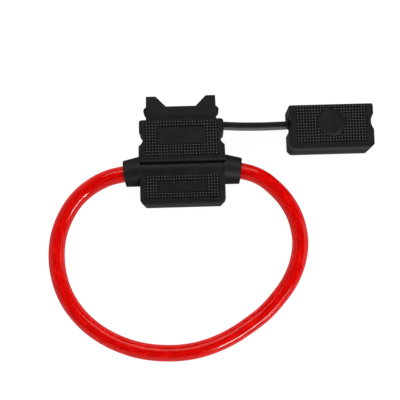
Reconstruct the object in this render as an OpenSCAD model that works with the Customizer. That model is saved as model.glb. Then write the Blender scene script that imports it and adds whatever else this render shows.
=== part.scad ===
// In-line holder for one large blade fuse: a soft moulded body with a socket and two cable boots,
// a hollow cap on a flat tether, two flag terminals and one loop of heavy cable between them.
// It lies on its back on the plane z = 0. The origin is under the middle of the upper panel,
// X runs along the cable's axis and Y points out of the socket's mouth.

/* [Fuse] */
// Width of the fuse's plastic body
fuse_w = 29.2; // [27:0.1:31]
// Thickness of the fuse's plastic body
fuse_t = 8.9; // [8:0.1:10]
// Width of one fuse blade
blade_w = 8.1; // [7:0.1:8.6]
// Thickness of one fuse blade
blade_t = 0.8; // [0.6:0.05:1]
// Room round the fuse in its socket
fuse_gap = 0.3; // [0.15:0.05:0.5]
// Radius of the socket's corners
socket_edge_r = 0.8; // [0.3:0.1:1.4]

/* [Neck] */
// Wall at the narrow sides of the neck
neck_side_wall = 2.05; // [1.5:0.05:2.4]
// Wall at the broad faces of the neck
neck_face_wall = 1.45; // [1.2:0.05:2]
// Height of the neck above the shoulder
neck_rise = 11.7; // [10.5:0.1:14]
// How much each narrow side leans in by the top
neck_lean = 0.3; // [0:0.05:0.5]
// Radius of the neck's long edges
neck_edge_r = 1.2; // [0.5:0.1:1.4]
// Depth of the finger gap between the two horns
finger_gap_depth = 5; // [3:0.1:6.5]
// Width of the finger gap at its floor
finger_gap_floor = 14.3; // [10:0.1:18]
// Width of the finger gap at the horns' tops
finger_gap_top = 24; // [19:0.1:25]
// Distance from the shoulder down to the ledge that the fuse sits on
ledge_depth = 5.85; // [4:0.05:8]
// How far a snap rib stands out of the neck
rib_out = 1.4; // [1:0.1:1.6]
// Length of a snap rib along the neck
rib_len = 3.8; // [3.4:0.1:4.8]
// Width of a snap rib across the neck
rib_w = 7; // [4:0.1:9]
// Height of a snap rib's middle above the shoulder
rib_up = 5.2; // [4.6:0.1:6]

/* [Upper panel] */
// Step from the neck's side out to the panel's side, at its foot
shoulder_step = 3.7; // [3:0.1:5]
// How much narrower the panel is at its shoulder, on each side
panel_taper = 0.5; // [0:0.1:0.8]
// Height of the upper panel
panel_h = 20.1; // [18:0.1:26]
// Radius of the panel's two shoulder corners
shoulder_r = 1.6; // [0.6:0.1:2.4]
// Bevel of the moulding's outer edges
edge_bevel = 0.6; // [0.2:0.1:1]
// Depth of the finger scallop in each side of the panel
panel_scallop_depth = 1.7; // [0.8:0.1:2]
// Length of the finger scallop in each side of the panel
panel_scallop_len = 6.2; // [4:0.1:7]
// Height of the scallop's middle above the panel's middle
panel_scallop_up = 0.7; // [-2:0.1:1.5]

/* [Lower panel] */
// Distance from the panel's middle down to the cable's axis
wire_drop = 13.6; // [13:0.1:16]
// Height of the lower panel
skirt_h = 15; // [13.5:0.1:18]
// Distance from the cable's axis down to the lower panel's top edge
skirt_drop = 2.1; // [1:0.1:4]
// How much thinner the lower panel is than the upper one, on each face
skirt_inset = 1.4; // [0.6:0.1:2]
// How much narrower the lower panel is than the upper one's foot, on each side
skirt_step = 0.4; // [0:0.1:1]
// Chamfer of the lower panel's two bottom corners
skirt_chamfer = 2.3; // [1:0.1:4]

/* [Grip fields] */
// Width of the roughened field on both panels
field_w = 34.4; // [30:0.1:36]
// Margin between the upper panel's shoulder and its field
field_margin = 0.8; // [0.4:0.1:1.5]
// Height of the roughened field on the upper panel
field_h = 16.9; // [14:0.1:18]
// Height of the roughened field on the lower panel
skirt_field_h = 11; // [9:0.1:11.8]
// Depth of the roughened fields, on the cap too
field_depth = 0.45; // [0.2:0.05:0.6]
// Margin between the lower panel's top edge and its field
skirt_field_margin = 1; // [0.4:0.1:1.6]
// Width of the smooth plate inside each field
plate_w = 22; // [16:0.1:26]
// Height of the smooth plate on the upper panel
plate_h = 7.7; // [5:0.1:10]
// Height of the smooth plate on the lower panel
skirt_plate_h = 4.8; // [3:0.1:7]
// Height of the upper plate's middle above the panel's middle
plate_up = 2; // [0:0.1:3]

/* [Cap] */
// Room between the neck's side and the cap's side wall
cap_side_gap = 0.9; // [0.9:0.05:1.4]
// Room between the neck's face and the cap's face wall
cap_face_gap = 0.3; // [0.25:0.05:0.6]
// Thickness of the cap's two side walls
cap_side_wall = 2.4; // [2.3:0.1:3.5]
// Thickness of the cap's two face walls
cap_face_wall = 1.7; // [1.2:0.1:2.4]
// Thickness of the cap's closed end
cap_end_wall = 1.8; // [1.2:0.1:3]
// Height of the cap from its mouth to its closed end
cap_h = 21.6; // [19.5:0.1:28]
// Chamfer of the cap's two corners at its closed end
cap_chamfer = 1.9; // [1:0.1:4]
// Radius of the cap's two corners at its mouth
cap_mouth_r = 1.2; // [0.4:0.1:2]
// Depth of the finger scallop in each side of the cap
cap_scallop_depth = 1.4; // [0.6:0.1:1.5]
// Length of the finger scallop in each side of the cap
cap_scallop_len = 7.4; // [5:0.1:8]
// Distance from the cap's mouth to the scallops' middle
cap_scallop_from_mouth = 8.9; // [8:0.1:11]
// Width of the roughened field on the cap
cap_field_w = 33.2; // [28:0.1:34]
// Height of the roughened field on the cap
cap_field_h = 17.8; // [15:0.1:18.2]
// Distance from the cap's mouth to its field
cap_field_margin = 0.6; // [0.4:0.1:1]
// Diameter of the smooth disc on the cap
disc_d = 11.8; // [8:0.1:14]
// Distance from the cap's mouth to the middle of the disc
disc_from_mouth = 9.1; // [8:0.1:11]
// Room round a snap rib in its groove inside the cap
rib_gap = 0.45; // [0.4:0.05:0.6]
// Gap between the cap's mouth and the shoulder when it is shut
close_gap = 0.45; // [0.2:0.05:0.8]

/* [Tether] */
// Length of the tether between the panel's side and the cap
tether_len = 31.4; // [29:0.1:40]
// Thickness of the tether, the way it bends
tether_t = 2.3; // [1.4:0.1:2.6]
// Width of the tether, out of the table
tether_w = 8; // [4:0.1:9]
// Distance from the shoulder down to the tether's middle
tether_drop = 2.75; // [2.75:0.05:4]
// Distance from the cap's mouth to the tether's middle
tether_from_mouth = 8; // [7.5:0.1:10]
// How far the tether's root on the cap lies inside its side
root_inset = 0.3; // [0:0.1:0.6]
// Height of the root's foot on the cap
root_foot = 4.6; // [3.4:0.1:6]
// How far the root's foot runs into the bottom of the cap's scallop
root_bite = 0.3; // [0.2:0.1:0.6]

/* [Cable] */
// Outer diameter of the cable's jacket
cable_d = 7.8; // [6.4:0.1:8.4]
// Diameter of the bundle of copper strands
core_d = 4.5; // [3:0.1:4.8]
// Diameter of the moulded tube that joins the boots
tube_d = 13.2; // [12.4:0.1:14]
// Diameter of a boot where it leaves the body
boot_root_d = 14.4; // [13.4:0.1:15.4]
// Diameter of a boot at its mouth
boot_mouth_d = 12.8; // [10.6:0.1:13.2]
// Length of a boot
boot_len = 7.4; // [4:0.1:14]
// Rounding of a boot's mouth
boot_lip_r = 0.6; // [0.2:0.1:1]
// How far each boot leans towards the lower panel, in degrees, as the loop pulls it
boot_lean = 7; // [0:0.5:8]
// Room between the leaning boot's bore and the cable
boot_gap = 0.15; // [0.1:0.05:0.3]
// Room between a boot's bore and the jacket
jacket_gap = 0.05; // [0.02:0.01:0.1]

/* [Terminals] */
// Thickness of the terminals' sheet brass
sheet_t = 0.8; // [0.5:0.05:0.9]
// Length of the receptacle that a blade is pushed into
receptacle_len = 13; // [9:0.1:13.2]
// Outer radius of the receptacle's rolled edges
roll_r = 2.3; // [2:0.05:2.5]
// Width added to the blade's for the receptacle
receptacle_extra = 1.5; // [1.2:0.1:2]
// Depth of the receptacle's mouth under the ledge
receptacle_below_ledge = 1; // [0.4:0.1:2]
// Length of the crimp on the strands
core_crimp_len = 5; // [3:0.1:6]
// Length of the crimp on the jacket
jacket_crimp_len = 3; // [2:0.1:3.6]
// Distance between the two crimps
crimp_step = 1.5; // [1:0.1:2]
// Length of the ramp from the receptacle down to the crimps' floor
ramp_len = 2; // [1:0.1:2.4]
// Width of the strip that joins the two crimps
bridge_w = 2.4; // [1.5:0.1:4]
// How far the jacket stands out of its crimp, towards the strands
jacket_lead = 0.3; // [0.1:0.1:0.4]
// How far the bare strands stand out of their crimp
strand_tail = 0.6; // [0.3:0.1:0.9]
// Room behind the strands' ends
strand_room = 0.4; // [0.2:0.1:0.8]
// Room between a crimp and what it holds
crimp_gap = 0.05; // [0.02:0.01:0.1]
// Room between a terminal and the walls of its chamber
chamber_gap = 0.2; // [0.1:0.05:0.4]

/* [Hidden] */
$fn = 64;
// How far a cut runs past the face that it opens, and a solid into the one that it grows from
past = 1;
// How far one part of a terminal's sheet runs into the next
sheet_join = 0.5;
// How far a boot's leaning bore reaches back into the straight one
boot_overlap = 0.5;
pvc_black = "#1b1b1d";
jacket_red = "#d8101a";
brass_yellow = "#c8ab5c";
copper_orange = "#c4703c";

socket_w = fuse_w + 2 * fuse_gap;
socket_t = fuse_t + 2 * fuse_gap;
neck_w = socket_w + 2 * neck_side_wall;
neck_t = socket_t + 2 * neck_face_wall;
cap_inner_w = neck_w + 2 * cap_side_gap;
cap_inner_t = neck_t + 2 * cap_face_gap;
cap_w = cap_inner_w + 2 * cap_side_wall;
body_t = cap_inner_t + 2 * cap_face_wall;
mid_z = body_t / 2;
panel_w = neck_w + 2 * shoulder_step;
shoulder_w = panel_w - 2 * panel_taper;
shoulder_y = panel_h / 2;
wire_y = -wire_drop;
skirt_top = wire_y - skirt_drop;
skirt_t = body_t - 2 * skirt_inset;
ledge_y = shoulder_y - ledge_depth;
rib_y = shoulder_y + rib_up;
rib_r = (rib_len * rib_len / 4 + rib_out * rib_out) / (2 * rib_out);
neck_half_at_rib = neck_w / 2 - neck_lean * rib_up / neck_rise;
rib_x = neck_half_at_rib + rib_out - rib_r;
skirt_w = panel_w - 2 * skirt_step;
boot_x = panel_w / 2;
field_top = shoulder_y - field_margin;

tether_y = shoulder_y - tether_drop;
root_x = shoulder_w / 2 + tether_len;
cap_x = root_x - root_inset + cap_w / 2;
cap_mouth_y = tether_y + tether_from_mouth;
cap_end_y = cap_mouth_y - cap_h;
// Depth inside the cap at which a snap rib comes to rest
rib_from_mouth = rib_up - close_gap;

jacket_r = cable_d / 2;
core_r = core_d / 2;
core_crimp_r = core_r + crimp_gap + sheet_t;
jacket_crimp_r = jacket_r + crimp_gap + sheet_t;
chamber_r = jacket_crimp_r + chamber_gap;
receptacle_w = blade_w + receptacle_extra;
// The blades are flush with the fuse's sides, so the terminals are this far off the middle
terminal_x = (fuse_w - blade_w) / 2;
sheet_z = mid_z - blade_t / 2 - sheet_t;
receptacle_top = ledge_y - receptacle_below_ledge;
receptacle_foot = receptacle_top - receptacle_len;
core_crimp_start = terminal_x - core_crimp_len / 2;
core_crimp_end = terminal_x + core_crimp_len / 2;
jacket_crimp_start = core_crimp_end + crimp_step;
jacket_crimp_end = jacket_crimp_start + jacket_crimp_len;
jacket_end_x = jacket_crimp_start - jacket_lead;
chamber_inner_end = core_crimp_start - strand_tail - strand_room;
chamber_outer_end = jacket_crimp_end + chamber_gap;

// Middle of the cable from the root of the left boot round to the right one's. It follows the boots
// to their mouths and lies on the table once it has come down from their height.
mouth_x = boot_x + boot_len * cos(boot_lean);
mouth_y = wire_y - boot_len * sin(boot_lean);
cable_low = 3.95;
route = [
    [-boot_x, wire_y, mid_z], [-mouth_x, mouth_y, mid_z],
    [-36.7, -16.4, 7.5], [-45.3, -20.6, 5.9], [-52.7, -27.1, 4.7], [-58.2, -36, cable_low],
    [-61.1, -45.4, cable_low], [-61.6, -55.8, cable_low], [-59.8, -65.8, cable_low],
    [-56.1, -74.6, cable_low], [-50.3, -82.6, cable_low], [-43.5, -88.8, cable_low],
    [-36.1, -93.5, cable_low], [-28.1, -97, cable_low], [-20.6, -99.1, cable_low],
    [-12.5, -100.2, cable_low], [-5, -100.4, cable_low], [2.6, -99.7, cable_low],
    [9.6, -98.1, cable_low], [16.6, -95.6, cable_low], [23.7, -92.1, cable_low],
    [30.8, -87.6, cable_low], [37.4, -82.7, cable_low], [43.9, -76.1, cable_low],
    [50, -68.1, cable_low], [54.1, -59, cable_low], [55.8, -48.8, cable_low],
    [54, -37.8, 4.2], [49.2, -28.5, 5], [41.7, -20.6, 6.4], [35.1, -16.6, 7.7],
    [mouth_x, mouth_y, mid_z], [boot_x, wire_y, mid_z]
];
cable_sides = 12;

// Outline of a circular scallop of a given length and depth, cut into an edge along Y at x = 0
module scallop(length, depth) {
    r = (length * length / 4 + depth * depth) / (2 * depth);
    translate([r - depth, 0]) circle(r);
}

// Rectangle with true round corners
module round_rect(w, h, r) {
    square([w - 2 * r, h], center = true);
    square([w, h - 2 * r], center = true);
    for (sx = [-1, 1], sy = [-1, 1])
        translate([sx * (w / 2 - r), sy * (h / 2 - r)]) circle(r);
}

// Rectangle with bevelled corners
module bevel_rect(w, h, b) {
    polygon([
        [-w / 2 + b, -h / 2], [w / 2 - b, -h / 2], [w / 2, -h / 2 + b], [w / 2, h / 2 - b],
        [w / 2 - b, h / 2], [-w / 2 + b, h / 2], [-w / 2, h / 2 - b], [-w / 2, -h / 2 + b]
    ]);
}

// Extrudes an outline drawn in X and Z along Y, from y0 up to y1
module extrude_y(y0, y1) {
    translate([0, y1, 0]) rotate([90, 0, 0]) linear_extrude(y1 - y0) children();
}

// Extrudes an outline drawn in Y and Z along X, from x0 up to x1
module extrude_x(x0, x1) {
    translate([x0, 0, 0]) rotate([90, 0, 90]) linear_extrude(x1 - x0) children();
}

// A plate of thickness t with the outline of its children and bevelled edges all round its box,
// which reaches w to each side of x = 0 and from y0 to y1
module moulded_plate(w, y0, y1, t) {
    intersection() {
        translate([0, 0, mid_z - t / 2]) linear_extrude(t) children();
        extrude_y(y0, y1) translate([0, mid_z]) bevel_rect(2 * w, t, edge_bevel);
        extrude_x(-w, w) translate([(y0 + y1) / 2, mid_z]) bevel_rect(y1 - y0, t, edge_bevel);
    }
}

// The upper panel's outline: square shoulders with round corners and a scallop in each side
module panel_outline() {
    difference() {
        union() {
            polygon([
                [-panel_w / 2, -panel_h / 2], [panel_w / 2, -panel_h / 2],
                [panel_w / 2 - panel_taper / 2, panel_scallop_up],
                [shoulder_w / 2, panel_scallop_up], [shoulder_w / 2, shoulder_y - shoulder_r],
                [shoulder_w / 2 - shoulder_r, shoulder_y - shoulder_r],
                [shoulder_w / 2 - shoulder_r, shoulder_y],
                [-shoulder_w / 2 + shoulder_r, shoulder_y],
                [-shoulder_w / 2 + shoulder_r, shoulder_y - shoulder_r],
                [-shoulder_w / 2, shoulder_y - shoulder_r], [-shoulder_w / 2, panel_scallop_up],
                [-panel_w / 2 + panel_taper / 2, panel_scallop_up]
            ]);
            for (s = [-1, 1])
                translate([s * (shoulder_w / 2 - shoulder_r), shoulder_y - shoulder_r])
                    circle(shoulder_r);
        }
        for (s = [0, 1]) mirror([s, 0])
            translate([shoulder_w / 2, panel_scallop_up])
                scallop(panel_scallop_len, panel_scallop_depth);
    }
}

// The lower panel's outline, with its two chamfered corners
module skirt_outline() {
    y1 = skirt_top;
    y0 = skirt_top - skirt_h;
    w = skirt_w / 2;
    c = skirt_chamfer;
    polygon([[-w + c, y0], [w - c, y0], [w, y0 + c], [w, y1], [-w, y1], [-w, y0 + c]]);
}

// The neck's outline: two horns with a finger gap between them, so that the fuse can be gripped
module neck_outline() {
    foot = shoulder_y - past;
    top = shoulder_y + neck_rise;
    floor_y = top - finger_gap_depth;
    top_half = neck_w / 2 - neck_lean;
    polygon([
        [-neck_w / 2, foot], [neck_w / 2, foot], [neck_w / 2, shoulder_y], [top_half, top],
        [finger_gap_top / 2, top], [finger_gap_floor / 2, floor_y],
        [-finger_gap_floor / 2, floor_y], [-finger_gap_top / 2, top],
        [-top_half, top], [-neck_w / 2, shoulder_y]
    ]);
}

module neck() {
    intersection() {
        translate([0, 0, mid_z - neck_t / 2]) linear_extrude(neck_t) neck_outline();
        extrude_y(shoulder_y - past, shoulder_y + neck_rise)
            translate([0, mid_z]) round_rect(neck_w, neck_t, neck_edge_r);
    }
    for (s = [-1, 1]) translate([s * rib_x, rib_y, mid_z - rib_w / 2]) cylinder(r = rib_r, h = rib_w);
}

// What lies in a boot is drawn along X from the panel's side, and leans there
module in_boot() {
    translate([boot_x, wire_y, mid_z]) rotate([0, 0, -boot_lean]) children();
}

// A boot is turned round its own axis: it narrows to a mouth with a rounded lip
module boot() {
    root = boot_root_d / 2;
    mouth = boot_mouth_d / 2;
    lip = boot_lip_r;
    in_boot() rotate([0, 90, 0]) rotate_extrude() {
        polygon([
            [0, -past], [root, -past], [root, 0], [mouth, boot_len - lip],
            [mouth - lip, boot_len - lip], [mouth - lip, boot_len], [0, boot_len]
        ]);
        translate([mouth - lip, boot_len - lip]) circle(lip);
    }
}

// The roughened fields lie a little below the face, with a smooth plate left standing in each
module panel_field(z0) {
    plate_y = plate_up - plate_h / 2;
    difference() {
        translate([-field_w / 2, field_top - field_h, z0]) cube([field_w, field_h, 2 * field_depth]);
        translate([-plate_w / 2, plate_y, z0 - past]) cube([plate_w, plate_h, 2 * (past + field_depth)]);
    }
}

module skirt_field(z0) {
    y1 = skirt_top - skirt_field_margin;
    plate_y = y1 - (skirt_field_h + skirt_plate_h) / 2;
    difference() {
        translate([-field_w / 2, y1 - skirt_field_h, z0]) cube([field_w, skirt_field_h, 2 * field_depth]);
        translate([-plate_w / 2, plate_y, z0 - past])
            cube([plate_w, skirt_plate_h, 2 * (past + field_depth)]);
    }
}

// Chamber for one terminal: a pocket under the ledge that opens into the bore round the crimps
module terminal_chamber() {
    pocket_w = receptacle_w + 2 * chamber_gap;
    translate([terminal_x - pocket_w / 2, wire_y, sheet_z - chamber_gap])
        cube([pocket_w, ledge_y - wire_y + past, 2 * roll_r + 2 * chamber_gap]);
    translate([chamber_inner_end, wire_y, mid_z]) rotate([0, 90, 0])
        cylinder(r = chamber_r, h = chamber_outer_end - chamber_inner_end);
    translate([chamber_inner_end, wire_y, mid_z]) rotate([0, 90, 0])
        cylinder(r = jacket_r + jacket_gap, h = boot_x - chamber_inner_end);
    in_boot() extrude_x(-boot_overlap, boot_len + past) circle(jacket_r + boot_gap);
}

module holder_body() {
    color(pvc_black) difference() {
        union() {
            moulded_plate(panel_w / 2, -panel_h / 2, shoulder_y, body_t) panel_outline();
            moulded_plate(skirt_w / 2, skirt_top - skirt_h, skirt_top, skirt_t) skirt_outline();
            translate([-panel_w / 2, wire_y, mid_z]) rotate([0, 90, 0]) cylinder(d = tube_d, h = panel_w);
            neck();
            for (s = [0, 1]) mirror([s, 0, 0]) boot();
        }
        extrude_y(ledge_y, shoulder_y + neck_rise + past)
            translate([0, mid_z]) round_rect(socket_w, socket_t, socket_edge_r);
        for (s = [0, 1]) mirror([s, 0, 0]) terminal_chamber();
        panel_field(-field_depth);
        panel_field(body_t - field_depth);
        skirt_field(skirt_inset - field_depth);
        skirt_field(body_t - skirt_inset - field_depth);
    }
}

// The cap's outline: chamfered corners at its closed end, round ones at its mouth, scalloped sides
module cap_outline() {
    w = cap_w / 2;
    r = cap_mouth_r;
    c = cap_chamfer;
    difference() {
        union() {
            polygon([
                [-w + c, cap_end_y], [w - c, cap_end_y], [w, cap_end_y + c], [w, cap_mouth_y - r],
                [w - r, cap_mouth_y - r], [w - r, cap_mouth_y], [-w + r, cap_mouth_y],
                [-w + r, cap_mouth_y - r], [-w, cap_mouth_y - r], [-w, cap_end_y + c]
            ]);
            for (s = [-1, 1]) translate([s * (w - r), cap_mouth_y - r]) circle(r);
        }
        for (s = [0, 1]) mirror([s, 0])
            translate([w, cap_mouth_y - cap_scallop_from_mouth])
                scallop(cap_scallop_len, cap_scallop_depth);
    }
}

// The cap's foot for the tether, in its left scallop
module tether_root() {
    w = cap_w / 2;
    half = tether_t / 2;
    foot = root_foot / 2;
    translate([0, tether_y, mid_z - tether_w / 2]) linear_extrude(tether_w) polygon([
        [-w + root_inset, -half], [-w + root_inset, half],
        [-w + cap_scallop_depth + root_bite, foot], [-w + cap_scallop_depth + root_bite, -foot]
    ]);
}

module cap_field(z0) {
    difference() {
        translate([-cap_field_w / 2, cap_mouth_y - cap_field_margin - cap_field_h, z0])
            cube([cap_field_w, cap_field_h, 2 * field_depth]);
        translate([0, cap_mouth_y - disc_from_mouth, z0 - past])
            cylinder(d = disc_d, h = 2 * (past + field_depth));
    }
}

// Grooves in the cap's side walls let the snap ribs in and end in a round pocket
module rib_grooves() {
    groove_w = rib_w + 2 * rib_gap;
    half = rib_x + rib_r + rib_gap;
    translate([0, 0, mid_z - groove_w / 2]) linear_extrude(groove_w) {
        translate([-half, cap_mouth_y - rib_from_mouth]) square([2 * half, rib_from_mouth + past]);
        for (s = [-1, 1]) translate([s * rib_x, cap_mouth_y - rib_from_mouth]) circle(rib_r + rib_gap);
    }
}

module cap() {
    color(pvc_black) translate([cap_x, 0, 0]) difference() {
        union() {
            moulded_plate(cap_w / 2, cap_end_y, cap_mouth_y, body_t) cap_outline();
            tether_root();
        }
        extrude_y(cap_end_y + cap_end_wall, cap_mouth_y + past)
            translate([0, mid_z]) round_rect(cap_inner_w, cap_inner_t, neck_edge_r);
        rib_grooves();
        cap_field(-field_depth);
        cap_field(body_t - field_depth);
    }
}

module tether() {
    color(pvc_black) translate([shoulder_w / 2, tether_y - tether_t / 2, mid_z - tether_w / 2])
        cube([tether_len, tether_t, tether_w]);
}

// One rolled edge of a receptacle, from the flat sheet round to the lip that presses on the blade
module rolled_edge() {
    lip = asin(1 - (sheet_t + blade_t) / roll_r);
    far = 2 * roll_r;
    difference() {
        circle(roll_r);
        circle(roll_r - sheet_t);
        polygon([[0, 0], [-far * cos(lip), -far * sin(lip)], [-far, -far], [0, -far]]);
    }
}

module receptacle_profile() {
    half = receptacle_w / 2 - roll_r;
    translate([-half, 0]) square([2 * half, sheet_t]);
    for (s = [0, 1]) mirror([s, 0]) translate([half, roll_r]) rolled_edge();
}

// The crimp ring on a bundle or jacket of radius r, with the groove where its two wings meet
module crimp_ring(x0, x1, r) {
    translate([0, wire_y, mid_z]) difference() {
        extrude_x(x0, x1) circle(r + sheet_t);
        extrude_x(x0 - past, x1 + past) circle(r);
        translate([(x0 + x1) / 2, 0, r + sheet_t]) rotate([45, 0, 0])
            cube([x1 - x0 + 2 * past, sheet_t / 2, sheet_t / 2], center = true);
    }
}

// A flag terminal: the blade goes in along Y and the cable is crimped along X
module terminal() {
    core_floor = mid_z - core_crimp_r;
    jacket_floor = mid_z - jacket_crimp_r;
    knee = (receptacle_foot + wire_y) / 2;
    ramp_low = knee - ramp_len / 2;
    ramp_high = knee + ramp_len / 2;
    half_t = sheet_t / 2;
    foot = receptacle_foot + sheet_join;
    inner = core_crimp_end - sheet_join;
    outer = jacket_crimp_start + sheet_join;
    color(brass_yellow) {
        extrude_y(receptacle_foot, receptacle_top) translate([terminal_x, sheet_z]) receptacle_profile();
        extrude_x(core_crimp_start, core_crimp_end) polygon([
            [foot, sheet_z], [ramp_high, sheet_z], [ramp_low, core_floor], [wire_y, core_floor],
            [wire_y, core_floor + sheet_t], [ramp_low + half_t, core_floor + sheet_t],
            [ramp_high + half_t, sheet_z + sheet_t], [foot, sheet_z + sheet_t]
        ]);
        crimp_ring(core_crimp_start, core_crimp_end, core_r + crimp_gap);
        crimp_ring(jacket_crimp_start, jacket_crimp_end, jacket_r + crimp_gap);
        extrude_y(wire_y - bridge_w / 2, wire_y + bridge_w / 2) polygon([
            [inner, core_floor], [core_crimp_end, core_floor],
            [jacket_crimp_start, jacket_floor], [outer, jacket_floor],
            [outer, jacket_floor + half_t], [jacket_crimp_start, jacket_floor + half_t],
            [core_crimp_end, core_floor + half_t], [inner, core_floor + half_t]
        ]);
    }
}

// The copper: six groups of strands round a seventh where they are bare, pressed into each other in
// the crimp, and one round bundle from the jacket's end out to the root of the boot
module copper_strands() {
    group_r = 0.37 * core_r;
    group_reach = core_r - crimp_gap - group_r;
    color(copper_orange) translate([0, wire_y, mid_z]) {
        extrude_x(core_crimp_start - strand_tail, jacket_end_x) {
            circle(group_r);
            for (k = [0 : 5]) rotate(60 * k) translate([group_reach, 0]) circle(group_r);
        }
        extrude_x(jacket_end_x, boot_x) circle(core_r);
    }
}

// The end of the red jacket, from the crimp out to the root of the boot
module jacket_end() {
    color(jacket_red) translate([0, wire_y, mid_z]) extrude_x(jacket_end_x, boot_x) difference() {
        circle(jacket_r);
        circle(core_r + crimp_gap);
    }
}

function unit(v) = v / norm(v);
// Both ends are square to the X axis, because they meet the cable's held ends there
function heading(i) =
    i == 0 || i == len(route) - 1 ? [-1, 0, 0] : unit(route[i + 1] - route[i - 1]);
function cable_ring(i) = let (t = heading(i), side = unit(cross(t, [0, 0, 1])), up = cross(side, t))
    [for (k = [0 : cable_sides - 1]) let (a = 360 * k / cable_sides)
        route[i] + jacket_r * (cos(a) * side + sin(a) * up)];

module cable_loop() {
    n = cable_sides;
    last = len(route) - 1;
    points = [for (i = [0 : last]) each cable_ring(i)];
    walls = [for (i = [0 : last - 1], k = [0 : n - 1])
        [i * n + k, i * n + (k + 1) % n, (i + 1) * n + (k + 1) % n, (i + 1) * n + k]];
    first_end = [for (k = [n - 1 : -1 : 0]) k];
    last_end = [for (k = [0 : n - 1]) last * n + k];
    color(jacket_red) polyhedron(points, concat(walls, [first_end], [last_end]), convexity = 8);
}

holder_body();
cap();
tether();
mirror([1, 0, 0]) terminal();  // terminal_left
terminal();  // terminal_right
mirror([1, 0, 0]) copper_strands();  // copper_strands_left
copper_strands();  // copper_strands_right
mirror([1, 0, 0]) jacket_end();  // jacket_end_left
jacket_end();  // jacket_end_right
cable_loop();
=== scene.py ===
import math

import bmesh
import bpy
from mathutils import Matrix, Vector


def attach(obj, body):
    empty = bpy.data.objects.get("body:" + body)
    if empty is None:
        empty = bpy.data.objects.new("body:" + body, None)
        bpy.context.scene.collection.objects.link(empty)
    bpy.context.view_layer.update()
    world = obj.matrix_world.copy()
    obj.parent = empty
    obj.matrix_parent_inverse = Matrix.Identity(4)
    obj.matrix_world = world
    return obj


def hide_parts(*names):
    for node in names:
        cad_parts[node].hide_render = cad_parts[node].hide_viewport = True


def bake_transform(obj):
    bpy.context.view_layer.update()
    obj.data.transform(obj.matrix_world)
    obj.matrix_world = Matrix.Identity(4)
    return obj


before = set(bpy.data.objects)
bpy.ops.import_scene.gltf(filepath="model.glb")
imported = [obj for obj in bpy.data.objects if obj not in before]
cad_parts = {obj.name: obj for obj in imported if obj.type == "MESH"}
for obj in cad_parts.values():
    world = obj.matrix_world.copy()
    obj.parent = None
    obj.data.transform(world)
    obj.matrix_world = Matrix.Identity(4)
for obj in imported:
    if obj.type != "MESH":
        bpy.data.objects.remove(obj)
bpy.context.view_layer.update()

# Camera
# It looks down on the table from 0.4 m, 7 degrees from the vertical, with the picture's top along
# the socket's mouth and a small turn. The long lens keeps the loop and the open cap in the frame.
BODY_MIDDLE = 0.0082
AIM = Vector((0.0080, -0.0281, BODY_MIDDLE))
AIM_DISTANCE = 0.408
LEAN_FROM_VERTICAL = math.radians(7.0)
PICTURE_TURN = math.radians(-1.6)
PICTURE_SIDE = 400
PIXELS_PER_SLOPE = 850
SENSOR = 36

camera = bpy.data.objects.new("camera", bpy.data.cameras.new("camera"))
camera.data.sensor_width = SENSOR
camera.data.lens = SENSOR * PIXELS_PER_SLOPE / PICTURE_SIDE
camera.data.clip_start = 0.01
camera.matrix_world = (
    Matrix.Translation(AIM)
    @ Matrix.Rotation(PICTURE_TURN, 4, "Z")
    @ Matrix.Rotation(LEAN_FROM_VERTICAL, 4, "X")
    @ Matrix.Translation((0, 0, AIM_DISTANCE))
)
bpy.context.scene.collection.objects.link(camera)
bpy.context.scene.camera = camera
bpy.context.scene.view_settings.view_transform = "Standard"

# Cable loop
# One length of heavy stranded cable, from the root of the left boot round to the right one's. Its
# jacket is a clear red PVC, extruded over the twisted copper, which shows through it as streaks.


def smooth_path(points, step):
    """Points at even steps along the smooth curve that runs through the given points."""
    ends = [2 * points[0] - points[1], *points, 2 * points[-1] - points[-2]]
    parts = 12
    dense = []
    for a, b, c, d in zip(ends, ends[1:], ends[2:], ends[3:]):
        for k in range(parts):
            t = k / parts
            dense.append(
                0.5 * (2 * b + (c - a) * t + (2 * a - 5 * b + 4 * c - d) * t * t
                       + (3 * b - a - 3 * c + d) * t ** 3)
            )
    dense.append(points[-1].copy())
    lengths = [0.0]
    for a, b in zip(dense, dense[1:]):
        lengths.append(lengths[-1] + (b - a).length)
    count = round(lengths[-1] / step)
    even, k = [], 0
    for i in range(count + 1):
        want = lengths[-1] * i / count
        while k < len(dense) - 2 and lengths[k + 1] < want:
            k += 1
        share = (want - lengths[k]) / (lengths[k + 1] - lengths[k])
        even.append(dense[k].lerp(dense[k + 1], min(max(share, 0), 1)))
    return even


def frames_along(path):
    """A placing matrix for each point: Z runs along the path, and X and Y follow untwisted."""
    made = []
    side = None
    for i, point in enumerate(path):
        along = (path[min(i + 1, len(path) - 1)] - path[max(i - 1, 0)]).normalized()
        if side is None:
            side = along.cross(Vector((0, 0, 1)))
        side = (side - along * side.dot(along)).normalized()
        other = along.cross(side)
        turn = Matrix((side, other, along)).transposed().to_4x4()
        made.append(Matrix.Translation(point) @ turn)
    return made


def sweep(bm, ring, frames):
    """Extrudes a ring of vertices, drawn round the origin in X and Y, along the frames."""
    edges = list({edge for vert in ring for edge in vert.link_edges})
    bmesh.ops.transform(bm, matrix=frames[0], verts=ring)
    rings = [ring]
    for before, after in zip(frames, frames[1:]):
        grown = bmesh.ops.extrude_edge_only(bm, edges=edges)["geom"]
        ring = [part for part in grown if isinstance(part, bmesh.types.BMVert)]
        fresh = set(ring)
        edges = [part for part in grown if isinstance(part, bmesh.types.BMEdge)
                 and set(part.verts) <= fresh]
        bmesh.ops.transform(bm, matrix=after @ before.inverted(), verts=ring)
        rings.append(ring)
    return rings


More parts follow.
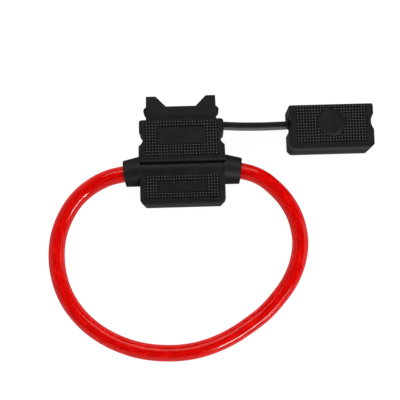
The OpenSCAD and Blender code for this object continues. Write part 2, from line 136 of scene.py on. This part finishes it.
def finished(bm, name, material, smooth=True):
    """Closes the bmesh into an object at the origin with one material."""
    bmesh.ops.recalc_face_normals(bm, faces=bm.faces)
    for face in bm.faces:
        face.smooth = smooth
    mesh = bpy.data.meshes.new(name)
    bm.to_mesh(mesh)
    bm.free()
    mesh.materials.append(material)
    made = bpy.data.objects.new(name, mesh)
    bpy.context.scene.collection.objects.link(made)
    return made


def feed(tree, node, inputs):
    """Sets a node's sockets to values, or links them to other nodes' outputs."""
    for name, value in inputs.items():
        if isinstance(value, bpy.types.NodeSocket):
            tree.links.new(value, node.inputs[name])
        else:
            node.inputs[name].default_value = value


def shader_node(tree, kind, inputs=None, **settings):
    """Adds a node, sets its options and feeds its sockets."""
    made = tree.nodes.new(kind)
    for name, value in settings.items():
        setattr(made, name, value)
    feed(tree, made, inputs or {})
    return made


def new_finish(name):
    """An empty node material, its tree and its principled shader."""
    material = bpy.data.materials.new(name)
    material.use_nodes = True
    tree = material.node_tree
    return material, tree, tree.nodes["Principled BSDF"]


def colour_ramp(tree, factor, stops):
    """A colour ramp with (position, colour) stops."""
    ramp = shader_node(tree, "ShaderNodeValToRGB", {"Fac": factor})
    while len(ramp.color_ramp.elements) < len(stops):
        ramp.color_ramp.elements.new(0.5)
    for element, (position, colour) in zip(ramp.color_ramp.elements, stops):
        element.position = position
        element.color = (*colour, 1)
    return ramp.outputs["Color"]


def noise(tree, place, scale, detail, **inputs):
    """A cloudy value from 0 to 1 that changes with the place."""
    sockets = {"Vector": place, "Scale": scale, "Detail": detail, **inputs}
    return shader_node(tree, "ShaderNodeTexNoise", sockets).outputs["Fac"]


def mapped(tree, value, given, wanted):
    """A value carried over from the given span to the wanted one, and held at its ends."""
    return shader_node(tree, "ShaderNodeMapRange", {
        "Value": value, "From Min": given[0], "From Max": given[1],
        "To Min": wanted[0], "To Max": wanted[1],
    }).outputs["Result"]


CABLE_LOW = 0.00395
CABLE_ROUTE = [
    (-0.02065, -0.0136, BODY_MIDDLE), (-0.027995, -0.014502, BODY_MIDDLE),
    (-0.0367, -0.0164, 0.0075), (-0.0453, -0.0206, 0.0059), (-0.0527, -0.0271, 0.0047),
    (-0.0582, -0.036, CABLE_LOW), (-0.0611, -0.0454, CABLE_LOW), (-0.0616, -0.0558, CABLE_LOW),
    (-0.0598, -0.0658, CABLE_LOW), (-0.0561, -0.0746, CABLE_LOW), (-0.0503, -0.0826, CABLE_LOW),
    (-0.0435, -0.0888, CABLE_LOW), (-0.0361, -0.0935, CABLE_LOW), (-0.0281, -0.097, CABLE_LOW),
    (-0.0206, -0.0991, CABLE_LOW), (-0.0125, -0.1002, CABLE_LOW), (-0.005, -0.1004, CABLE_LOW),
    (0.0026, -0.0997, CABLE_LOW), (0.0096, -0.0981, CABLE_LOW), (0.0166, -0.0956, CABLE_LOW),
    (0.0237, -0.0921, CABLE_LOW), (0.0308, -0.0876, CABLE_LOW), (0.0374, -0.0827, CABLE_LOW),
    (0.0439, -0.0761, CABLE_LOW), (0.05, -0.0681, CABLE_LOW), (0.0541, -0.059, CABLE_LOW),
    (0.0558, -0.0488, CABLE_LOW), (0.054, -0.0378, 0.0042), (0.0492, -0.0285, 0.005),
    (0.0417, -0.0206, 0.0064), (0.0351, -0.0166, 0.0077),
    (0.027995, -0.014502, BODY_MIDDLE), (0.02065, -0.0136, BODY_MIDDLE),
]
CABLE_STEP = 0.0008
JACKET_RADIUS = 0.0039
LAY_TURN = 35.0
LAY_STRETCH = 22.0

red_jacket, tree, shader = new_finish("red_jacket")
lay = shader_node(tree, "ShaderNodeAttribute", attribute_name="lay").outputs["Vector"]
streaks = colour_ramp(tree, noise(tree, lay, scale=8.5, detail=3.0, Roughness=0.65), [
    (0.37, (0.56, 0.0, 0.0)), (0.47, (0.75, 0.0, 0.0)),
    (0.56, (0.88, 0.0, 0.0)), (0.66, (1.0, 0.010, 0.004)),
])
sides = shader_node(tree, "ShaderNodeLayerWeight", {"Blend": 0.5}).outputs["Facing"]
feed(tree, shader, {
    "Base Color": streaks, "Roughness": mapped(tree, sides, (0.4, 0.7), (0.08, 1.0)),
    "Specular IOR Level": 0.3, "Specular Tint": (1.0, 0.68, 0.6, 1),
})

cable_frames = frames_along(smooth_path([Vector(point) for point in CABLE_ROUTE], CABLE_STEP))
bm = bmesh.new()
lay_layer = bm.verts.layers.float_vector.new("lay")
circle = bmesh.ops.create_circle(bm, segments=36, radius=JACKET_RADIUS)["verts"]
rings = sweep(bm, circle, cable_frames)
along = 0.0
for i, ring in enumerate(rings):
    if i:
        along += (cable_frames[i].translation - cable_frames[i - 1].translation).length
    back = cable_frames[i].inverted()
    twist = Matrix.Rotation(LAY_TURN * along, 3, "Z")
    for vert in ring:
        around = twist @ ((back @ vert.co) / JACKET_RADIUS)
        vert[lay_layer] = (around.x, around.y, along * LAY_STRETCH)
bmesh.ops.holes_fill(bm, edges=bm.edges, sides=0)
cable = finished(bm, "cable_jacket", red_jacket)
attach(cable, "holder")
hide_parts("cable_loop")

# Studio
# A round white sweep whose wall curves up from the table and fades to grey, open at the top, with
# six lights round it. Its own white is seen by the camera and by gloss, and it takes shadows.
SWEEP_RADIUS = 1.0
SWEEP_BEND = 0.35
BEND_STEPS = 8
SWEEP_WALL = 0.75
CEILING_GREY = 0.16
SOFTBOX_DISTANCE = 0.85


def object_place(tree):
    """The place on the object, for the textures to follow."""
    return shader_node(tree, "ShaderNodeTexCoord").outputs["Object"]


white_sweep, tree, shader = new_finish("white_sweep")
tree.nodes.remove(shader)
light_path = shader_node(tree, "ShaderNodeLightPath").outputs
seen = shader_node(tree, "ShaderNodeMath", {
    0: light_path["Is Camera Ray"], 1: light_path["Is Glossy Ray"],
}, operation="ADD")
seen = shader_node(tree, "ShaderNodeMath", {
    0: seen.outputs[0], 1: light_path["Is Transmission Ray"],
}, operation="ADD", use_clamp=True)
paint = shader_node(tree, "ShaderNodeBsdfDiffuse", {"Color": (0.8, 0.8, 0.8, 1)})
faint = shader_node(tree, "ShaderNodeBsdfDiffuse", {"Color": (0.14, 0.14, 0.14, 1)})
above_table = shader_node(tree, "ShaderNodeSeparateXYZ", {0: object_place(tree)}).outputs["Z"]
glow = shader_node(tree, "ShaderNodeEmission", {
    "Color": (1, 1, 1, 1), "Strength": mapped(tree, above_table, (0.005, 0.2), (0.95, 0.2)),
})
white = shader_node(tree, "ShaderNodeAddShader", {0: faint.outputs[0], 1: glow.outputs[0]})
mix = shader_node(tree, "ShaderNodeMixShader", {
    "Fac": seen.outputs[0], 1: paint.outputs[0], 2: white.outputs[0],
})
tree.links.new(mix.outputs[0], tree.nodes["Material Output"].inputs["Surface"])

profile = [(SWEEP_RADIUS, 0)]
for k in range(1, BEND_STEPS + 1):
    angle = math.radians(90) * k / BEND_STEPS
    profile.append((
        SWEEP_RADIUS + SWEEP_BEND * math.sin(angle), SWEEP_BEND * (1 - math.cos(angle)),
    ))
profile.append((SWEEP_RADIUS + SWEEP_BEND, SWEEP_WALL))

bm = bmesh.new()
last = bmesh.ops.create_vert(bm, co=(0, 0, 0))["vert"][0]
for radius, height in profile:
    last = bmesh.ops.extrude_vert_indiv(bm, verts=[last])["verts"][0]
    last.co = (radius, 0, height)
bmesh.ops.spin(
    bm, geom=bm.verts[:] + bm.edges[:], cent=(0, 0, 0), axis=(0, 0, 1),
    angle=math.tau, steps=64, use_merge=True,
)
bmesh.ops.remove_doubles(bm, verts=bm.verts, dist=0.0001)
sweep_floor = finished(bm, "studio_sweep", white_sweep)

world = bpy.data.worlds.new("dim_ceiling")
world.use_nodes = True
feed(world.node_tree, world.node_tree.nodes["Background"], {"Color": (*[CEILING_GREY] * 3, 1)})
bpy.context.scene.world = world


def softbox(name, azimuth, elevation, watts, wide, high, sparkle=False):
    """A light at a compass angle and a height, aimed at the object; a sparkle only adds gloss."""
    lamp = bpy.data.lights.new(name, "AREA")
    lamp.energy = watts
    lamp.shape = "RECTANGLE"
    lamp.size = wide
    lamp.size_y = high
    flat = math.cos(math.radians(elevation))
    towards = Vector((
        math.sin(math.radians(azimuth)) * flat, math.cos(math.radians(azimuth)) * flat,
        math.sin(math.radians(elevation)),
    ))
    placed = bpy.data.objects.new(name, lamp)
    placed.location = AIM + towards * SOFTBOX_DISTANCE
    placed.rotation_mode = "QUATERNION"
    placed.rotation_quaternion = towards.to_track_quat("Z", "Y")
    placed.visible_diffuse = not sparkle
    bpy.context.scene.collection.objects.link(placed)


softbox("soft_north", azimuth=0, elevation=46, watts=4.8, wide=1.0, high=0.5)
softbox("soft_south_east", azimuth=143, elevation=31, watts=2.8, wide=0.6, high=0.35)
softbox(
    "strip_south_east", azimuth=146, elevation=31, watts=8.0, wide=0.40, high=0.028, sparkle=True
)
softbox("soft_east", azimuth=90, elevation=18, watts=0.8, wide=0.4, high=0.4)
softbox("soft_south", azimuth=200, elevation=20, watts=0.9, wide=1.0, high=0.4)
softbox("soft_west", azimuth=275, elevation=28, watts=0.9, wide=1.2, high=0.5)

# Moulded body
# The holder, its neck and its boots are one shot of soft black PVC round the two terminals. The
# mould leaves a fine grain, soft edges and a slight sheen. Its CAD solid stays.
PVC_TONES = [(0.3, (0.0080, 0.0074, 0.0080)), (0.7, (0.0110, 0.0102, 0.0108))]
PVC_SPECULAR = 0.16
CLOUD_SPAN = (0.3, 0.7)


def size_along_z(tree, vector, middle=0.0):
    """How far a vector's Z is from the middle value, up or down."""
    upright = shader_node(tree, "ShaderNodeSeparateXYZ", {0: vector}).outputs["Z"]
    off = shader_node(tree, "ShaderNodeMath", {0: upright, 1: middle}, operation="SUBTRACT")
    size = shader_node(tree, "ShaderNodeMath", {0: off.outputs[0]}, operation="ABSOLUTE")
    return size.outputs[0]


def paint_solids(names, material):
    """Gives the CAD solids that stay in view their material."""
    for name in names:
        for material_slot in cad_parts[name].material_slots:
            material_slot.material = material


# The faces shine a little. The walls are matt, most of all halfway up.
black_pvc, tree, shader = new_finish("black_pvc")
place = object_place(tree)
cloud = noise(tree, place, scale=160.0, detail=3.0)
face_gloss = mapped(tree, cloud, CLOUD_SPAN, (0.40, 0.50))
from_middle = size_along_z(tree, place, BODY_MIDDLE)
wall_gloss = mapped(tree, from_middle, (0.004, BODY_MIDDLE), (1.0, 0.5))
facing = size_along_z(tree, shader_node(tree, "ShaderNodeTexCoord").outputs["Normal"])
soft_edge = shader_node(tree, "ShaderNodeBevel", {"Radius": 0.00025}, samples=6)
bump = shader_node(tree, "ShaderNodeBump", {
    "Height": noise(tree, place, scale=2600.0, detail=2.0), "Strength": 0.25,
    "Distance": 0.00002, "Normal": soft_edge.outputs["Normal"],
})
feed(tree, shader, {
    "Base Color": colour_ramp(tree, cloud, PVC_TONES),
    "Roughness": mapped(tree, facing, (0.7, 0.95), (wall_gloss, face_gloss)),
    "Specular IOR Level": PVC_SPECULAR, "Normal": bump.outputs["Normal"],
})
paint_solids(("holder_body", "cap"), black_pvc)

# Grip pattern
# Both faces of the two panels and of the cap are roughened for the fingers with rows of small
# pyramids, cut into the mould. They fill the recessed fields round each smooth plate and disc.
PYRAMID_PITCH = 0.00138
PYRAMID_FOOT = 0.00118
PYRAMID_WAIST = 0.00065
PYRAMID_TIP = 0.00006
FLANK_HEIGHT = 0.00038
TIP_HEIGHT = 0.00009
PYRAMID_SINK = 0.00002
FIELD_DEPTH = 0.00045
BODY_TOP = 2 * BODY_MIDDLE
SKIRT_INSET = 0.0014
PLATE_REACH = 0.00065
DISC_REACH = 0.00078
UPPER_FIELD = ((-0.0172, -0.00765), (0.0172, 0.00925))
UPPER_PLATE = ((0, 0.002), 0.022, 0.0077)
LOWER_FIELD = ((-0.0172, -0.0277), (0.0172, -0.0167))
LOWER_PLATE = ((0, -0.0222), 0.022, 0.0048)
CAP_FIELD = ((0.0549, -0.0031), (0.0881, 0.0147))
DISC_MIDDLE = (0.0715, 0.0062)
DISC_WIDTH = 0.0118

# The pyramids are the body's own PVC, but their colour is several times darker: painted shade for
# the hollows between them. Their glints come from gloss.
grip_pvc_painted_shade, tree, shader = new_finish("grip_pvc_painted_shade")
cloud = noise(tree, object_place(tree), scale=420.0, detail=2.0)
tone = colour_ramp(tree, cloud, [(0.3, (0.0010, 0.0009, 0.0010)), (0.7, (0.0020, 0.0018, 0.0020))])
feed(tree, shader, {
    "Base Color": tone, "Roughness": mapped(tree, cloud, CLOUD_SPAN, (0.12, 0.19)),
    "Specular IOR Level": 0.85,
})


def pyramid_stump(bm, x, y, base, outwards):
    """Adds a pyramid's steep lower part on its base height and returns its flat crown."""
    middle = base + outwards * FLANK_HEIGHT / 2
    place = Matrix.Translation((x, y, middle)) @ Matrix.Rotation(math.radians(45), 4, "Z")
    if outwards < 0:
        place = place @ Matrix.Rotation(math.pi, 4, "X")
    made = bmesh.ops.create_cone(
        bm, cap_ends=True, segments=4, radius1=PYRAMID_FOOT / math.sqrt(2),
        radius2=PYRAMID_WAIST / math.sqrt(2), depth=FLANK_HEIGHT, matrix=place,
    )["verts"]
    crown = [set(vert.link_faces) for vert in made if outwards * (vert.co.z - middle) > 0]
    return set.intersection(*crown).pop()


def pyramid_field(bm, low, high, bare, faces):
    """Pyramids between two corners on each (height, outwards) face, apart from the bare place."""
    across = round((high[0] - low[0]) / PYRAMID_PITCH)
    rows = round((high[1] - low[1]) / PYRAMID_PITCH)
    crowns = []
    for i in range(across):
        x = low[0] + (i + 0.5) / across * (high[0] - low[0])
        for j in range(rows):
            y = low[1] + (j + 0.5) / rows * (high[1] - low[1])
            if bare(x, y):
                continue
            for height, outwards in faces:
                base = height - outwards * (FIELD_DEPTH + PYRAMID_SINK)
                crowns.append(pyramid_stump(bm, x, y, base, outwards))
    bmesh.ops.recalc_face_normals(bm, faces=bm.faces)
    bmesh.ops.inset_individual(
        bm, faces=crowns, thickness=(PYRAMID_WAIST - PYRAMID_TIP) / 2, depth=TIP_HEIGHT,
        use_even_offset=True,
    )


def rectangle(middle, width, height):
    """A test for the places whose pyramid would touch a plate of that size."""
    return lambda x, y: (abs(x - middle[0]) < width / 2 + PLATE_REACH
                         and abs(y - middle[1]) < height / 2 + PLATE_REACH)


def disc(middle, width):
    """A test for the places whose pyramid would touch a round plate of that size."""
    return lambda x, y: math.hypot(x - middle[0], y - middle[1]) < width / 2 + DISC_REACH


bm = bmesh.new()
pyramid_field(bm, *UPPER_FIELD, rectangle(*UPPER_PLATE), [(BODY_TOP, 1), (0, -1)])
pyramid_field(
    bm, *LOWER_FIELD, rectangle(*LOWER_PLATE), [(BODY_TOP - SKIRT_INSET, 1), (SKIRT_INSET, -1)]
)
body_grip = finished(bm, "panel_grip", grip_pvc_painted_shade, smooth=False)
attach(body_grip, "holder")

bm = bmesh.new()
pyramid_field(bm, *CAP_FIELD, disc(DISC_MIDDLE, DISC_WIDTH), [(BODY_TOP, 1), (0, -1)])
cap_grip = finished(bm, "cap_grip", grip_pvc_painted_shade, smooth=False)
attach(cap_grip, "cap")

# Disc rims
# The smooth disc on each face of the cap has a rounded rim, moulded on, which runs down into the
# grip field and catches the light. The front's slopes up to a low lip, and the back's is flush.
RIM_FOOT = -0.00046
# Points of (radius, height out of the face), turned round the disc's middle.
LIPPED_RIM = [
    (0.0050, RIM_FOOT), (0.0050, -0.00001), (0.0052, 0.00001), (0.00545, 0.00004),
    (0.0057, 0.0001), (0.0059, 0.00016), (0.00605, 0.00019), (0.0062, 0.00019),
    (0.00632, 0.00014), (0.0064, 0.00003), (0.00645, -0.00014), (0.00648, RIM_FOOT),
]
FLUSH_RIM = [
    (0.0057, RIM_FOOT), (0.0057, 0), (0.00622, 0), (0.00634, -0.00003), (0.00642, -0.00012),
    (0.00646, -0.00024), (0.00648, RIM_FOOT),
]

bm = bmesh.new()
for face, outwards, profile in ((BODY_TOP, 1, LIPPED_RIM), (0, -1, FLUSH_RIM)):
    outline = [
        bmesh.ops.create_vert(
            bm, co=(DISC_MIDDLE[0] + radius, DISC_MIDDLE[1], face + outwards * height)
        )["vert"][0]
        for radius, height in profile
    ]
    edges = [bm.edges.new(pair) for pair in zip(outline, outline[1:] + outline[:1])]
    bmesh.ops.spin(
        bm, geom=outline + edges, cent=(*DISC_MIDDLE, 0), axis=(0, 0, 1),
        angle=math.tau, steps=96, use_merge=True,
    )
bmesh.ops.remove_doubles(bm, verts=bm.verts, dist=0.000001)
disc_rims = finished(bm, "disc_rims", black_pvc)
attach(disc_rims, "cap")

# Tether
# A flat strip of the same PVC, moulded on with the cap, which is swung over on it. It hangs a
# little towards the lower panel, and it is made in two halves that meet at its middle.
TETHER_START = Vector((0.0199, 0.0078, BODY_MIDDLE))
TETHER_MIDDLE = Vector((0.03575, 0.00700, BODY_MIDDLE))
TETHER_END = Vector((0.0516, 0.00715, BODY_MIDDLE))
HOLDER_HALF_SAG = Vector((0, 0.00015, 0))
CAP_HALF_SAG = Vector((0, 0.0001, 0))
TETHER_STEP = 0.0004
TETHER_THICK = 0.0027
TETHER_WIDE = 0.008
TETHER_EDGE = 0.0004


def drawn_out(tree, scale):
    """The place on the object, drawn out along each axis with a scale under one."""
    return shader_node(
        tree, "ShaderNodeMapping", {"Vector": object_place(tree), "Scale": scale}
    ).outputs["Vector"]


tether_pvc, tree, shader = new_finish("tether_pvc")
flow = noise(tree, drawn_out(tree, (0.2, 1.0, 1.0)), scale=900.0, detail=3.0)
bump = shader_node(tree, "ShaderNodeBump", {"Height": flow, "Strength": 0.2, "Distance": 0.00003})
feed(tree, shader, {
    "Base Color": colour_ramp(tree, flow, PVC_TONES),
    "Roughness": mapped(tree, flow, CLOUD_SPAN, (0.40, 0.48)),
    "Specular IOR Level": PVC_SPECULAR, "Normal": bump.outputs["Normal"],
})

tether_path = smooth_path([
    TETHER_START, TETHER_START.lerp(TETHER_MIDDLE, 0.5) - HOLDER_HALF_SAG, TETHER_MIDDLE,
    TETHER_MIDDLE.lerp(TETHER_END, 0.5) - CAP_HALF_SAG, TETHER_END,
], TETHER_STEP)
middle = min(range(len(tether_path)), key=lambda i: (tether_path[i] - TETHER_MIDDLE).length)


def tether_half(name, path):
    """One half of the tether, swept along its part of the path."""
    bm = bmesh.new()
    made = bmesh.ops.create_circle(bm, cap_ends=True, segments=4, radius=math.sqrt(0.5))
    bmesh.ops.rotate(bm, verts=made["verts"], matrix=Matrix.Rotation(math.radians(45), 3, "Z"))
    bmesh.ops.scale(bm, verts=made["verts"], vec=(TETHER_THICK, TETHER_WIDE, 1))
    bmesh.ops.bevel(
        bm, geom=bm.verts[:], offset=TETHER_EDGE, segments=4, profile=0.5,
        affect="VERTICES", material=-1,
    )
    bmesh.ops.delete(bm, geom=bm.faces[:], context="FACES_ONLY")
    sweep(bm, bm.verts[:], frames_along(path))
    bmesh.ops.holes_fill(bm, edges=bm.edges, sides=0)
    half = finished(bm, name, tether_pvc)
    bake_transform(half)
    return half


holder_half = tether_half(
    "tether_holder_half", tether_path[:middle + 1]
)
tether_half("tether_cap_half", tether_path[middle:])
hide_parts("tether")

# Terminals
# Two flag terminals stamped and folded from sheet brass, one for each blade of the fuse. They sit
# in their chambers under the socket's ledge, where only their rolled edges can be seen.
brass, tree, shader = new_finish("terminal_brass")
rolling = noise(tree, drawn_out(tree, (1.0, 0.08, 1.0)), scale=6000.0, detail=3.0)
tone = colour_ramp(tree, rolling, [(0.3, (0.55, 0.42, 0.20)), (0.7, (0.70, 0.56, 0.30))])
feed(tree, shader, {
    "Base Color": tone, "Metallic": 1.0,
    "Roughness": mapped(tree, rolling, CLOUD_SPAN, (0.22, 0.38)),
})
paint_solids(("terminal_left", "terminal_right"), brass)

# Bared strands
# The copper strands of the cable, bare in each terminal's crimp, drawn bright and a little dull
# where the jacket was stripped off.
copper, tree, shader = new_finish("strand_copper")
patches = noise(tree, object_place(tree), scale=900.0, detail=3.0)
tone = colour_ramp(tree, patches, [(0.3, (0.62, 0.25, 0.11)), (0.7, (0.80, 0.42, 0.24))])
feed(tree, shader, {"Base Color": tone, "Metallic": 1.0, "Roughness": 0.3})
paint_solids(("copper_strands_left", "copper_strands_right"), copper)

# Jacket ends
# The ends of the same red jacket, held in the boots by the second crimp of each terminal.
jacket_end, tree, shader = new_finish("red_jacket_end")
strands = noise(tree, drawn_out(tree, (0.1, 1.0, 1.0)), scale=1900.0, detail=2.0)
tone = colour_ramp(tree, strands, [(0.35, (0.50, 0.0, 0.002)), (0.65, (0.78, 0.006, 0.008))])
feed(tree, shader, {"Base Color": tone, "Roughness": 0.25})
paint_solids(("jacket_end_left", "jacket_end_right"), jacket_end)
